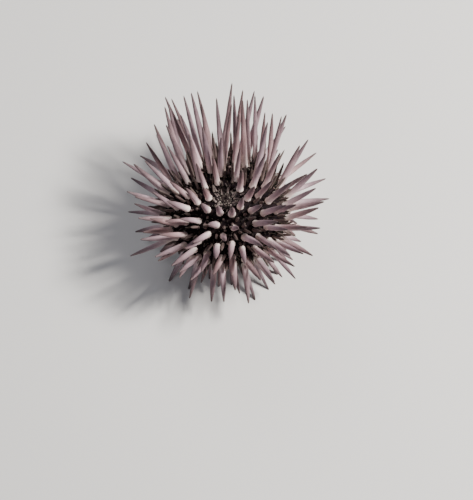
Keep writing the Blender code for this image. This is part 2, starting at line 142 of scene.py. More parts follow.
# %% Zones of the test
def zone_centre(zone):
    return zone * math.tau / ZONE_COUNT


def zone_span(zone):
    return INTERAMBULACRUM_SPAN if zone % 2 else AMBULACRUM_SPAN


def zone_name(zone):
    if zone % 2:
        return f"interambulacrum_{zone // 2 + 1}"
    return "ambulacrum_" + ("I", "II", "III", "IV", "V")[zone // 2]


def zone_at(longitude):
    def beyond(zone):
        return abs(off_by(longitude - zone_centre(zone))) - zone_span(zone) / 2

    return min(range(ZONE_COUNT), key=beyond)


ZONE_NAMES = [zone_name(zone) for zone in range(ZONE_COUNT)]
print(ZONE_NAMES)

# %% [markdown]
# ## The way a spine points
# A spine follows the normal of the test only roughly. The muscles round its base hold it up: near the
# ambitus it rises at a steep slant, and at the back it sweeps to +Y, where the spines are longest.
# One rule for the whole animal keeps neighbours alike, and small random turns keep them apart.

# %% Way and length of a spine
SPINE_RADIUS = 1.12 * MM
SMALL_SPINE_RADIUS = 0.58 * MM
SIDE_REACH = 16.8 * MM
BACK_REACH = 26.5 * MM
FRONT_REACH = 19.8 * MM
LIFT = math.radians(41)
FOOT_SLOPE = math.radians(38)


@dataclass
class Spine:
    zone: int
    root: np.ndarray
    normal: np.ndarray
    way: np.ndarray
    length: float
    radius: float
    foot: bool = False


def lie(longitude, latitude):
    """Root, normal, heading and steepness: lifted off the normal, and combed back behind."""
    root, normal = surface_point(longitude, latitude), surface_normal(longitude, latitude)
    steep = math.asin(normal[2])
    share = abs(steep) / (math.pi / 2)
    if steep > 0:
        steep = LIFT + (math.pi / 2 - LIFT) * share**2.6
    else:
        steep += LIFT * (1 - share)
    heading = math.atan2(normal[1], normal[0])
    backward = smooth((math.sin(longitude) - 0.05) / 0.7)
    comb = 0.34 + 0.36 * smooth(math.cos(longitude) + 0.5)
    heading += comb * backward * smooth(latitude + 0.6) * (math.pi / 2 - heading)
    return root, normal, heading, steep


def spine_length(longitude, latitude):
    backward = smooth((math.sin(longitude) + 0.1) / 1.0)
    forward = smooth(-math.sin(longitude))
    reach = SIDE_REACH + (BACK_REACH - SIDE_REACH) * backward + (FRONT_REACH - SIDE_REACH) * forward
    if latitude > 0:
        return reach * (1 - 0.42 * smooth((latitude - 0.8) / 0.6))
    return reach * (1 - 0.55 * smooth(-latitude / 0.6))


def pointed(heading, steep):
    flat = math.cos(steep)
    return np.array((flat * math.cos(heading), flat * math.sin(heading), math.sin(steep)))


def grown(zone, longitude, latitude, radius, share, lean, chance):
    """A spine at a place on the test, a share of the full length, leaning to one side of its column."""
    root, normal, heading, steep = lie(longitude, latitude)
    heading += lean + chance.uniform(-0.08, 0.08)
    steep += chance.uniform(-0.1, 0.1)
    way = pointed(heading, steep)
    length = spine_length(longitude, latitude) * share * chance.uniform(0.9, 1.08)
    foot = steep < -FOOT_SLOPE and share == 1
    if way[2] < 0 and not foot:
        length = min(length, (root[2] - 1.5 * MM) / -way[2])
    return Spine(zone, root, normal, way, length, radius, foot)


print("longest spine", round(spine_length(math.pi / 2, 0) / MM, 1), "mm")

# %% [markdown]
# ## Rows of spines
# Columns of places run down each zone, and every other column starts half a step lower, so that the
# spines stand staggered. On the dome the large ones keep their distance, and small ones stand where a
# large one finds no room. A place too close to the cut between two zones stays empty.

# %% Places for the spines
ROW_SPACING = 1.5 * MM
LARGE_SPACING = 4 * MM
AMBITUS_SPACING = 3.15 * MM
ROOT_CLEARANCE = 0.5 * MM
COLUMN_OFFSETS = (-0.36, -0.18, 0.0, 0.18, 0.36)
COLUMN_LEAN = math.radians(8)
SMALL_SPOT_STEP = 5


def column_latitudes(start):
    """Where the spines of one column stand, from the apical disc down to the mouth."""
    latitude = latitude_at(APICAL_RADIUS + 1.9 * MM)
    end = latitude_at(PERISTOME_RADIUS + 1.9 * MM, above=False)
    advance = start
    while True:
        crowding = 1 - 0.22 * smooth(abs(latitude) / math.radians(70))
        across, down = TEST_LENGTH / 2 * math.sin(latitude), half_height(latitude) * math.cos(latitude)
        latitude -= advance * ROW_SPACING * crowding / math.hypot(across, down)
        if latitude < end:
            return
        yield latitude
        advance = 1


def from_cuts(spine):
    """How far a spine's root stands from the two cuts that part its zone from the next ones."""
    turn = math.atan2(spine.root[1] * TEST_LENGTH / TEST_WIDTH, spine.root[0])
    across_cut = zone_span(spine.zone) / 2 - abs(off_by(turn - zone_centre(spine.zone)))
    return math.sin(across_cut) * math.hypot(spine.root[0], spine.root[1])


def fits(spine, others):
    """Whether a spine's root has room. The large ones stand further apart on the dome."""
    if from_cuts(spine) < spine.radius + PART_GAP:
        return False
    on_dome = smooth((spine.normal[2] - 0.2) / 0.5)
    apart = AMBITUS_SPACING + (LARGE_SPACING - AMBITUS_SPACING) * on_dome
    for other in others:
        room = spine.radius + other.radius + ROOT_CLEARANCE
        if min(spine.radius, other.radius) > SMALL_SPINE_RADIUS:
            room = apart
        if np.linalg.norm(spine.root - other.root) < room:
            return False
    return True


def planted():
    """The spines, from the apical disc down: large ones first, then small ones where they fit."""
    chance = random.Random(SEED)
    places = []
    for zone in range(ZONE_COUNT):
        for column, offset in enumerate(COLUMN_OFFSETS):
            for row, latitude in enumerate(column_latitudes(0.5 * (column % 2))):
                longitude = zone_centre(zone) + zone_span(zone) * offset + chance.uniform(-0.015, 0.015)
                places.append((latitude + chance.uniform(-0.03, 0.03), longitude, zone, row + column))
    places.sort(reverse=True)
    spines, spots = [], []
    for latitude, longitude, zone, number in places:
        radius = SPINE_RADIUS * (1 - 0.36 * smooth(-latitude / 1.1)) * chance.uniform(0.84, 1.08)
        lean = (-COLUMN_LEAN, COLUMN_LEAN)[number % 2]
        spine = grown(zone, longitude, latitude, radius, 1, lean, chance)
        if fits(spine, spines):
            spines.append(spine)
        elif latitude > -0.6:
            spots.append((zone, longitude, latitude))
    for zone, longitude, latitude in spots[::SMALL_SPOT_STEP]:
        spine = grown(zone, longitude, latitude, SMALL_SPINE_RADIUS, 0.42, 0, chance)
        if fits(spine, spines):
            spines.append(spine)
    return spines


spines = planted()
print(len(spines), "spines planted")

# %% [markdown]
# ## Room between the shafts
# Shafts that only follow the rule would cross here and there. Every pair is measured where it comes
# nearest, and a pair that is too close pushes itself apart, a little in each round. Turning all of
# them at once settles the whole coat, where turning one at a time would only pass a clash on.

# %% Clearing the shafts of each other
SPINE_CLEARANCE = 0.45 * MM


def thickness(share):
    """A large spine's radius along it, as a share of the radius at its ring."""
    return np.clip(1 - np.abs(share) ** 2.3, 0, 1) ** 0.85


def dot(first, second):
    return np.einsum("ij,ij->i", first, second)


def nearest(apart, first_ways, second_ways, first_lengths, second_lengths):
    """How far along two straight shafts they come nearest, and the way between those places."""
    along = dot(first_ways, second_ways)
    on_first, on_second = dot(first_ways, apart), dot(second_ways, apart)
    spread = np.maximum(1 - along**2, 1e-9)
    at_first = np.clip((along * on_second - on_first) / spread, 0, first_lengths)
    at_second = np.clip(along * at_first + on_second, 0, second_lengths)
    at_first = np.clip(along * at_second - on_first, 0, first_lengths)
    between = apart + first_ways * at_first[:, None] - second_ways * at_second[:, None]
    return at_first, at_second, between


def clear_of_each_other(spines, rounds=80):
    """Turns spines about their roots until none comes within SPINE_CLEARANCE of another."""
    first, second = np.triu_indices(len(spines), 1)
    columns = zip(*((s.root, s.way, s.length, s.radius, s.foot) for s in spines))
    roots, ways, lengths, radii, feet = (np.array(column) for column in columns)
    apart = roots[first] - roots[second]
    for _ in range(rounds):
        lengths[feet] = -roots[feet, 2] / ways[feet, 2]
        pairs = ways[first], ways[second], lengths[first], lengths[second]
        at_first, at_second, between = nearest(apart, *pairs)
        distance = np.linalg.norm(between, axis=1)
        filled = radii[first] * thickness(at_first / lengths[first])
        filled += radii[second] * thickness(at_second / lengths[second])
        short = SPINE_CLEARANCE - (distance - filled)
        close = np.nonzero(short > 0)[0]
        if not len(close):
            break
        push = between[close] / np.maximum(distance[close], 1e-6)[:, None]
        push *= (short[close] * 0.6)[:, None]
        for index, at, sign in ((first, at_first, 1), (second, at_second, -1)):
            arm = np.maximum(at[close], 0.35 * lengths[index[close]])
            np.add.at(ways, index[close], sign * push / arm[:, None])
        ways /= np.linalg.norm(ways, axis=1)[:, None]
    for spine, way, length in zip(spines, ways, lengths):
        spine.way, spine.length = way, length
    crossed = set()
    for pair in close:
        i, j = first[pair], second[pair]
        if short[pair] > 0.6 * SPINE_CLEARANCE:
            crossed.add(i if radii[i] < radii[j] else j)
    return [spine for number, spine in enumerate(spines) if number not in crossed]


spines = clear_of_each_other(spines)
large_spines = [spine for spine in spines if spine.radius > SMALL_SPINE_RADIUS]
small_spines = [spine for spine in spines if spine.radius <= SMALL_SPINE_RADIUS]
print(len(large_spines), "large spines,", len(small_spines), "small ones")

# %% [markdown]
# ## Place over the floor
# The solids were moved level at the end, to stand over the middle of the floor. The round cone of
# small plates at the very top shows by how much, so everything made here moves by the same amount.

# %% Place of the animal over the floor
low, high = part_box("periproct")
PLACE = Vector(((low.x + high.x) / 2, (low.y + high.y) / 2, 0))
print("axis of the test at", [round(c / MM, 3) for c in PLACE], "mm")

# %% [markdown]
# ## Shader helper
# Shader maths reads best as Python expressions. Value wraps a socket, so that adding or multiplying
# two of them adds the Math node. Every node comes from one method, node, which takes the kind of
# node, its settings, which are set first, and what feeds each of its sockets.


# %% Shader helper
class Value:
    """A number that varies over a surface: the output socket of a node."""

    def __init__(self, finish, socket):
        self.finish, self.socket = finish, socket

    def _math(self, operation, *operands, clamp=False):
        settings = {"operation": operation, "use_clamp": clamp}
        node = self.finish.node("Math", settings, dict(enumerate(operands)))
        return Value(self.finish, node.outputs[0])

    def __add__(self, other):
        return self._math("ADD", self, other)

    def __sub__(self, other):
        return self._math("SUBTRACT", self, other)

    def __mul__(self, other):
        return self._math("MULTIPLY", self, other)

    def __radd__(self, other):
        return self._math("ADD", other, self)

    def __rsub__(self, other):
        return self._math("SUBTRACT", other, self)

    def __rmul__(self, other):
        return self._math("MULTIPLY", other, self)

    def wave(self):
        return self._math("SINE", self) * 0.5 + 0.5

    def held(self):
        return self._math("ADD", self, 0, clamp=True)


class Finish:
    """A material with a Principled shader, and the nodes that vary it."""

    def __init__(self, name, shine=0.5):
        self.material = bpy.data.materials.new(name)
        self.material.use_nodes = True
        self.tree = self.material.node_tree
        self.shader = self.tree.nodes["Principled BSDF"]
        self.feed(self.shader, {"Specular IOR Level": shine})

    def feed(self, node, sources):
        """Links or sets sockets of a node, each told by its name or its number."""
        for place, source in sources.items():
            if isinstance(source, Value):
                source = source.socket
            if isinstance(source, bpy.types.NodeSocket):
                self.tree.links.new(source, node.inputs[place])
            elif isinstance(source, tuple):
                node.inputs[place].default_value = (*source, 1)
            else:
                node.inputs[place].default_value = source

    def node(self, kind, settings, sources):
        made = self.tree.nodes.new("ShaderNode" + kind)
        for name, value in settings.items():
            if name == "stops":
                self._set_stops(made.color_ramp, value)
            else:
                setattr(made, name, value)
        self.feed(made, sources)
        return made

    def _set_stops(self, ramp, stops):
        while len(ramp.elements) < len(stops):
            ramp.elements.new(0.5)
        for element, (position, colour) in zip(ramp.elements, stops):
            element.position, element.color = position, (*colour, 1)

    def map(self, name):
        """The two numbers of a UV map of the piece."""
        both = self.node("UVMap", {"uv_map": name}, {}).outputs["UV"]
        parts = self.node("SeparateXYZ", {}, {"Vector": both})
        return Value(self, parts.outputs["X"]), Value(self, parts.outputs["Y"])

    def own(self, name):
        """A number kept with the piece's points."""
        return Value(self, self.node("Attribute", {"attribute_name": name}, {}).outputs["Fac"])

    def noise(self, scale, detail):
        place = self.node("TexCoord", {}, {}).outputs["Object"]
        sources = {"Vector": place, "Scale": scale, "Detail": detail, "Roughness": 0.55}
        return Value(self, self.node("TexNoise", {}, sources).outputs["Fac"])

    def cells(self, scale):
        """How far a place is from the middle of its cell, for dots and pits."""
        place = self.node("TexCoord", {}, {}).outputs["Object"]
        cells = self.node("TexVoronoi", {}, {"Vector": place, "Scale": scale})
        return Value(self, cells.outputs["Distance"])

    def ramp(self, amount, stops):
        return self.node("ValToRGB", {"stops": stops}, {"Fac": amount}).outputs["Color"]

    def between(self, amount, low, high):
        """Where amount stands between low and high, held to 0 and 1."""
        sources = {"Value": amount, "From Min": low, "From Max": high}
        return Value(self, self.node("MapRange", {}, sources).outputs["Result"])

    def mixed(self, amount, first, second, blend="MIX"):
        """Two colours mixed by an amount."""
        settings = {"data_type": "RGBA", "blend_type": blend}
        return self.node("Mix", settings, {0: amount, 6: first, 7: second}).outputs[2]

    def raised(self, height, depth, strength):
        """A bump from a height that runs from 0 to 1, of a real depth in metres."""
        bump = self.node("Bump", {}, {"Height": height, "Distance": depth, "Strength": strength})
        self.feed(self.shader, {"Normal": bump.outputs["Normal"]})

    def shows(self, colour, rough):
        self.feed(self.shader, {"Base Color": colour, "Roughness": rough})
        print("finish:", self.material.name, "with", len(self.tree.nodes), "nodes")
        return self.material


print("shader helper:", [name for name in vars(Finish) if name[0] != "_"])

# %% [markdown]
# ## Finish of the spines
# A large spine is stone-hard calcite under a thin skin: dusty mauve, paler at the swollen ring of its
# base, browner and darker towards its tip: partly its own colour, and partly painted shade. Fine ridges
# run along it, with painted shade in the grooves between them. Painting each one would take a picture,
# so a ramp runs along the map named Along, and the number tone gives a spine its own tint.

# %% Finish of the large spines
# Darker towards the tip: partly the spine's own colour, partly painted shade.
SPINE_COLOURS_AND_PAINTED_SHADE = [
    (0.0, (0.97, 0.83, 0.77)),
    (0.09, (0.89, 0.72, 0.69)),
    (0.2, (0.65, 0.49, 0.52)),
    (0.42, (0.43, 0.305, 0.34)),
    (0.68, (0.21, 0.14, 0.16)),
    (0.88, (0.098, 0.065, 0.072)),
    (1.0, (0.055, 0.036, 0.035)),
]


def blotched(finish, scale, detail, unevenness, shades):
    """Shades along a shaft with an uneven edge between them, and the noise that makes it uneven."""
    around, along = finish.map("Along")
    blotch = finish.noise(scale, detail)
    colour = finish.ramp((along + (blotch - 0.5) * unevenness).held(), shades)
    return colour, blotch, around, along


def spine_finish():
    finish = Finish("spine_calcite", shine=0.4)
    colour, blotch, around, along = blotched(finish, 420, 3, 0.22, SPINE_COLOURS_AND_PAINTED_SHADE)
    tone = finish.own("tone")
    shaft = finish.between(along, 0.0, 0.4)
    brown = shaft * finish.between(tone, 0.45, 0.7)
    colour = finish.mixed(brown * 0.8, colour, (0.84, 0.71, 0.62), "MULTIPLY")
    grey = shaft * finish.between(tone, 0.8, 1.0)
    colour = finish.mixed(grey * 0.7, colour, (0.76, 0.88, 1.0), "MULTIPLY")
    ridge = (around * (math.tau * 26)).wave()
    # Painted shade: the grooves between the ridges are darkened.
    painted_groove_shade = (1 - ridge) * (0.22 + blotch * 0.3)
    colour = finish.mixed(painted_groove_shade, colour, (0.15, 0.09, 0.095))
    speck = finish.noise(2600, 2)
    colour = finish.mixed(finish.between(speck, 0.6, 0.75) * 0.25, colour, (0.6, 0.5, 0.5))
    milled = ridge * finish.between(1 - along, 0.02, 0.3)
    finish.raised(milled + speck * 0.35, 0.07 * MM, 0.7)
    return finish.shows(colour, 0.5 + blotch * 0.2)


SPINE_FINISH = spine_finish()

# %% [markdown]
# ## One spine as a pattern
# The base of a spine is a socket that rides on a knob of the test. Above the socket stands the milled
# ring, the widest part and the palest. The shaft keeps its width for half its length, then draws to a
# worn point. A spine is round, so spinning half its outline makes it in one go, where a cylinder would
# need a loop for every change of width. The outline is given in two measures: below 0 in radii, so
# that every ring keeps its shape, and above in shares of the length. The turn round the spine and the
# way along it also give the maps: Along for the finish, and OFBake, a patch to bake on.


# %% Spun patterns
def as_mesh(name, bm):
    mesh = bpy.data.meshes.new(name)
    bm.to_mesh(mesh)
    bm.free()
    return mesh


def spun(profile, sides, slim=9):
    """A closed pattern from (radius, height) steps spun round Z.

    A finished copy is about slim radii long, which settles how much of the map each step is given.
    """
    bm = bmesh.new()
    reach = bm.verts.layers.float.new("reach")
    points = [bm.verts.new((radius, 0, height)) for radius, height in profile]
    for before, point in zip(points, points[1:]):
        step = point.co - before.co
        point[reach] = before[reach] + math.hypot(step.x, step.z * (slim if point.co.z > 0 else 1))
    whole, top = points[-1][reach], points[-1].co.z
    edges = [bm.edges.new(pair) for pair in zip(points, points[1:])]
    bmesh.ops.spin(bm, geom=points + edges, axis=(0, 0, 1), angle=math.tau, steps=sides, use_merge=True)
    bmesh.ops.remove_doubles(bm, verts=bm.verts, dist=1e-6)
    bmesh.ops.recalc_face_normals(bm, faces=bm.faces)
    along = bm.loops.layers.uv.new("Along")
    patch = bm.loops.layers.uv.new("OFBake")
    for face in bm.faces:
        face.smooth = True
        middle = face.calc_center_median()
        turn = math.atan2(middle.y, middle.x) % math.tau
        for loop in face.loops:
            spot, own = loop.vert.co, turn
            if spot.xy.length > 1e-6:
                own += off_by(math.atan2(spot.y, spot.x) - turn)
            loop[along].uv = (own / math.tau, max(0.0, spot.z) / top)
            loop[patch].uv = (own / math.tau, loop.vert[reach] / whole)
    bm.verts.layers.float.remove(reach)
    return as_mesh("pattern", bm)


BASE_PROFILE = [(0.0, -1.0), (0.72, -0.97), (1.1, -0.7), (1.25, -0.38), (1.13, -0.05)]
SHAFT_PROFILE = [(1.0, 0.08), (0.95, 0.4), (0.72, 0.7), (0.26, 0.965), (0.0, 1.0)]
LARGE_PATTERN = spun(BASE_PROFILE + SHAFT_PROFILE, 10)
print("a large spine has", len(LARGE_PATTERN.polygons), "faces")

# %% [markdown]
# ## Many spines from one
# Each copy of a pattern is stretched, bent a little and turned to its place. Instances would be
# lighter, but a real copy can have a tint of its own, and a patch of its own on the map OFBake, so
# that a bake keeps every spine's colours apart. Each zone's spines make one piece, and the solid of
# that zone is hidden.


# %% Large spines of every zone
def shown(name, mesh):
    """A new object of the scene that shows a mesh."""
    made = bpy.data.objects.new(name, mesh)
    bpy.context.scene.collection.objects.link(made)
    print(name, "has", len(mesh.polygons), "faces")
    return made


def added(bm, pattern):
    """Adds a pattern to a bmesh, and gives the points and faces it brought."""
    verts, faces = len(bm.verts), len(bm.faces)
    bm.from_mesh(pattern)
    bm.verts.ensure_lookup_table()
    bm.faces.ensure_lookup_table()
    return bm.verts[verts:], bm.faces[faces:]


def copies(name, pattern, stands, chance=None):
    """One piece of many copies. A stand is (root, way, length, radius, bend)."""
    bm = bmesh.new()
    tone = bm.verts.layers.float.new("tone")
    chance = chance or random.Random(SEED)
    columns = 4 * math.ceil(math.sqrt(len(stands) / 4))
    rows = math.ceil(len(stands) / columns)
    for number, (root, way, length, radius, bend) in enumerate(stands):
        verts, faces = added(bm, pattern)
        turn = Vector(way).to_track_quat("Z", "Y").to_matrix().to_4x4()
        turn @= Matrix.Rotation(chance.uniform(0, math.tau), 4, "Z")
        shade = chance.random()
        for vert in verts:
            rise = vert.co.z * (length if vert.co.z > 0 else radius)
            sway = bend * length * max(0.0, vert.co.z) ** 2
            spot = Vector((vert.co.x * radius + sway, vert.co.y * radius, rise))
            vert.co = turn @ spot + Vector(root) + PLACE
            vert[tone] = shade
        patch = bm.loops.layers.uv["OFBake"]
        row, column = divmod(number, columns)
        for face in faces:
            for loop in face.loops:
                u, v = loop[patch].uv
                loop[patch].uv = (column + 0.06 + 0.88 * u) / columns, (row + 0.03 + 0.94 * v) / rows
    print(len(stands), "copies:", end=" ")
    return shown(name, as_mesh(name, bm))


def dressed(piece, finish, slot_name, *nodes):
    """Gives a piece its finish, sets it on the body, and hides the named nodes."""
    piece.data.materials.append(finish)
    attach(piece, "root")
    if nodes:
        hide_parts(*nodes)


RING_LIFT = 1.05


def stands_of(group, chance):
    """Roots set up on their knobs, a ring's height above the skin."""
    stands = []
    for spine in group:
        lift = RING_LIFT * spine.radius
        root = spine.root + spine.way * lift
        bend = chance.uniform(-0.012, 0.012)
        stands.append((root, spine.way, spine.length - lift, spine.radius, bend))
    return stands


for zone, node in enumerate(ZONE_NAMES):
    chance = random.Random(SEED + 10 * zone)
    group = [spine for spine in large_spines if spine.zone == zone and not spine.foot]
    piece = copies(f"spines_{node}", LARGE_PATTERN, stands_of(group, chance), chance)
    dressed(piece, SPINE_FINISH, "spines", node)

# %% [markdown]
# ## Spines that stand on the floor
# The lowest spines are shorter and blunter, and their tips are worn flat. They are copied a little too
# long, then one level cut takes off what lies below the floor. Such a cut leaves every flat at the
# same height, where setting points down to it one by one would pinch the tips.

# %% Spines that stand on the floor
FOOT_SPARE = 0.8 * MM
FOOT_PROFILE = [(1.0, 0.08), (0.88, 0.45), (0.68, 0.8), (0.46, 1.0), (0.0, 1.0)]


def cut_at_floor(piece):
    """Takes off what lies below the floor, and closes every cut with a small flat."""
    bm = bmesh.new()
    bm.from_mesh(piece.data)
    whole = [*bm.verts, *bm.edges, *bm.faces]
    cut = bmesh.ops.bisect_plane(bm, geom=whole, plane_co=(0, 0, 0), plane_no=(0, 0, 1), clear_inner=True)
    rims = [item for item in cut["geom_cut"] if isinstance(item, bmesh.types.BMEdge)]
    flats = bmesh.ops.holes_fill(bm, edges=rims)["faces"]
    bm.to_mesh(piece.data)
    bm.free()
    print(len(flats), "flats on the floor")


feet = [spine for spine in large_spines if spine.foot]
foot_stands = [
    (root, way, length + FOOT_SPARE, radius, 0)
    for root, way, length, radius, _ in stands_of(feet, random.Random(SEED + 1))
]
foot_piece = copies("foot_spines", spun(BASE_PROFILE + FOOT_PROFILE, 9), foot_stands)
cut_at_floor(foot_piece)
dressed(foot_piece, SPINE_FINISH, "spines")

# %% [markdown]
# ## The skin
# One closed skin covers the whole test, so that no seam shows between the zones. It is a lathe shape,
# spun from half of the test's section and then made oval. In life each spine rides on a knob inside a
# collar of dark muscle. Joining hundreds of modelled knobs to the skin would tear its even mesh, so
# its points move outwards near every root instead. A fine unevenness goes over all of it.

# %% Skin of the test
SKIN_ROWS = 170
SKIN_STEPS = 336
KNOB_RISE = 0.62
MOUTH_HOLLOW = 1.4 * MM


def oval(profile, steps):
    """A lathe shape from (radius, level) steps in metres, squeezed like the test."""
    mesh = spun(profile, steps, slim=1)
    mesh.transform(Matrix.Diagonal((1, SQUEEZE, 1, 1)))
    return mesh


def skin_profile():
    for k in range(SKIN_ROWS + 1):
        latitude = math.pi / 2 - math.pi * k / SKIN_ROWS
        radius = max(0.0, TEST_LENGTH / 2 * math.cos(latitude))
        level = level_of(latitude)
        if latitude < 0:
            level += MOUTH_HOLLOW * smooth((PERISTOME_RADIUS + 0.1 * MM - radius) / (1.4 * MM))
        yield radius, level


def raise_knobs(mesh, rooted):
    """Moves the skin out into a knob under every spine, and keeps how far as the number collar."""
    count = len(mesh.vertices)
    spots = np.empty(count * 3)
    mesh.vertices.foreach_get("co", spots)
    spots = spots.reshape(-1, 3)
    out = spots - (0, 0, AMBITUS_LEVEL)
    out[:, 2] /= np.where(out[:, 2] >= 0, DOME_HEIGHT, UNDERSIDE_DEPTH) ** 2
    out[:, :2] /= np.array((TEST_LENGTH / 2, TEST_WIDTH / 2)) ** 2
    out /= np.linalg.norm(out, axis=1)[:, None]
    rise, collar = np.zeros(count), np.zeros(count)
    for spine in rooted:
        away = np.linalg.norm(spots - spine.root, axis=1) / spine.radius
        knob = np.exp(-((away / 1.12) ** 4)) + 0.3 * np.exp(-((away / 2.0) ** 2))
        rise = np.maximum(rise, knob * KNOB_RISE * spine.radius)
        collar = np.maximum(collar, np.exp(-((away / 1.5) ** 4)))
    for scale, height in ((900, 0.11 * MM), (2600, 0.05 * MM)):
        rise += np.array([noise.noise(Vector(spot) * scale) for spot in spots]) * height
    spots += out * rise[:, None] + np.array(PLACE)
    mesh.vertices.foreach_set("co", spots.ravel())
    kept = mesh.attributes.new("collar", "FLOAT", "POINT")
    kept.data.foreach_set("value", collar)


def skin_finish():
    finish = Finish("wet_dark_skin_with_painted_shade", shine=0.03)
    cloud, fine, dots = finish.noise(260, 5), finish.noise(1500, 4), finish.cells(1300)
    # Nearly black: partly the skin's own dark colour, partly painted shade for the shadow between the
    # spines.
    shades = [(0.3, (0.003, 0.002, 0.003)), (0.52, (0.0065, 0.0038, 0.005)), (0.75, (0.017, 0.01, 0.011))]
    colour = finish.ramp((cloud * 0.7 + fine * 0.3).held(), shades)
    colour = finish.mixed(finish.own("collar") * 0.6, colour, (0.02, 0.012, 0.012))
    crust = (1 - finish.between(dots, 0.1, 0.18)) * finish.between(cloud, 0.52, 0.62)
    colour = finish.mixed(crust, colour, (0.17, 0.175, 0.14))
    finish.raised(fine * 0.6 + (1 - dots) * 0.4, 0.18 * MM, 0.8)
    return finish.shows(colour, 0.45 + fine * 0.3)


skin = oval(list(skin_profile()), SKIN_STEPS)
raise_knobs(skin, spines)
dressed(shown("test_skin", skin), skin_finish(), "skin", *ZONE_NAMES)

# %% [markdown]
# ## Room for small things
# Between the large spines stand many small things. Places for them are tried at even steps over the
# test, with a golden angle from one to the next, as seeds lie in a sunflower. A shaft is kept where
# it stays clear of all that already stands. Chance alone would leave bare patches and crossed shafts.

# %% Even steps over the test
GOLDEN_TURN = math.pi * (3 - math.sqrt(5))


def even_spots(count, lowest):
    """Longitudes and latitudes spread evenly over the test, down to a latitude."""
    for k in range(count):
        rise = 1 - (k + 0.5) / count * (1 - math.sin(lowest))
        yield (k * GOLDEN_TURN) % math.tau, math.asin(rise)


class Standing:
    """All that stands on the test so far, to measure a new shaft against."""

    def __init__(self, shafts):
        self.shafts = [(s.root, s.way, s.length, s.radius) for s in shafts]
        self.columns = None

    def takes(self, root, way, length, radius, clearance):
        """Lets a new shaft stand if it keeps clear of all the others, and says whether it does."""
        if self.columns is None:
            self.columns = [np.array(column) for column in zip(*self.shafts)]
        roots, ways, lengths, radii = self.columns
        at_new, at_old, between = nearest(root - roots, way[None], ways, length, lengths)
        filled = radii * thickness(at_old / lengths) + radius * thickness(at_new / length)
        clear = (np.linalg.norm(between, axis=1) - filled).min() > clearance
        if clear:
            self.shafts.append((root, way, length, radius))
            self.columns = None
        return clear


def fill_in(standing, chance, count, lowest, radius, length, clearance, tries, keep=1.0):
    """New shafts where there is room. radius and length are ranges, and like clearance in mm."""
    made = []
    for longitude, latitude in even_spots(count, lowest):
        if math.cos(latitude) * TEST_LENGTH / 2 < APICAL_RADIUS + 0.3 * MM or chance.random() > keep:
            continue
        root, normal, heading, steep = lie(longitude + chance.uniform(-0.02, 0.02), latitude)
        thick = chance.uniform(*radius) * MM
        for _ in range(tries):
            way = pointed(heading + chance.uniform(-0.35, 0.35), steep + chance.uniform(-0.3, 0.2))
            if way @ normal < 0.35:
                way = normal
            reach = chance.uniform(*length) * MM * (1 - 0.3 * smooth((latitude - 0.7) / 0.6))
            if root[2] + way[2] * reach < 0.6 * MM:
                continue
            if standing.takes(root, way, reach, thick, clearance * MM):
                made.append((root + way * thick * 0.4, way, reach, thick, chance.uniform(-0.03, 0.03)))
                break
    return made


standing = Standing(spines)
print(len(standing.shafts), "shafts stand so far")

# %% [markdown]
# ## The small spines
# The small spines are thin, of a few lengths, and greyer and more olive than the large ones. Those of
# the solids come first, then others where there is room. The large pattern would do, but hundreds of
# copies of a lighter one look the same at their size.

# %% Small spines
SMALL_BASE = [(0.0, -0.7), (0.8, -0.6), (1.16, -0.05)]
SMALL_PATTERN = spun(SMALL_BASE + [(1.0, 0.08), (0.93, 0.5), (0.55, 0.87), (0.0, 1.0)], 8)


def small_spine_finish(name, shades):
    finish = Finish(name, shine=0.3)
    stops = list(zip((0.0, 0.08, 0.4, 1.0), shades))
    colour, blotch, around, _ = blotched(finish, 700, 3, 0.3, stops)
    colour = finish.mixed(finish.between(finish.own("tone"), 0.4, 0.9) * 0.5, colour, shades[-1])
    ridge = (around * (math.tau * 12)).wave()
    # Painted shade darkens the grooves between the ridges.
    colour = finish.mixed((1 - ridge) * 0.35, colour, (0.04, 0.026, 0.026))
    finish.raised(ridge, 0.05 * MM, 0.6)
    return finish.shows(colour, 0.5 + blotch * 0.2)


SMALL_SHADES = [(0.36, 0.28, 0.24), (0.2, 0.15, 0.135), (0.13, 0.09, 0.086), (0.088, 0.068, 0.058)]
chance = random.Random(SEED + 3)
small_stands = [
    (spine.root + spine.way * 0.3 * spine.radius, spine.way, spine.length, spine.radius, 0.01)
    for spine in small_spines
]
small_stands += fill_in(
    standing, chance, 330, -0.7, radius=(0.38, 0.56), length=(3, 6.5), clearance=0.3, tries=8
)
small_piece = copies("small_spines", SMALL_PATTERN, small_stands)
dressed(small_piece, small_spine_finish("small_spine_calcite", SMALL_SHADES), "spines")

# %% [markdown]
# ## The finest spines
# Hundreds of dark spines, each about half a millimetre thick, stand in whatever room is left. They
# could be particle hair, but hair is no mesh, so each is a copy of a pattern of thirty faces.

# %% Finest spines
FINE_PATTERN = spun([(0.0, -0.5), (0.8, -0.4), (1.2, 0.0), (0.95, 0.15), (0.75, 0.7), (0.0, 1.0)], 6)
FINE_SHADES = [(0.1, 0.08, 0.06), (0.07, 0.055, 0.042), (0.05, 0.038, 0.03), (0.045, 0.042, 0.028)]
fine_stands = fill_in(
    standing, chance, 1700, -0.8, radius=(0.17, 0.25), length=(1.2, 2.8), clearance=0.12, tries=3
)
fine_piece = copies("finest_spines", FINE_PATTERN, fine_stands)
dressed(fine_piece, small_spine_finish("finest_spine_calcite", FINE_SHADES), "spines")

# %% [markdown]
# ## Tube feet
# Down both edges of each ambulacrum run double rows of tube feet, thin dark stalks that end in a
# sucker. They are short and curled above, and longest below, where the animal holds on with them.
# One spun stalk is copied, as with the spines, and leans a little further down than they do.

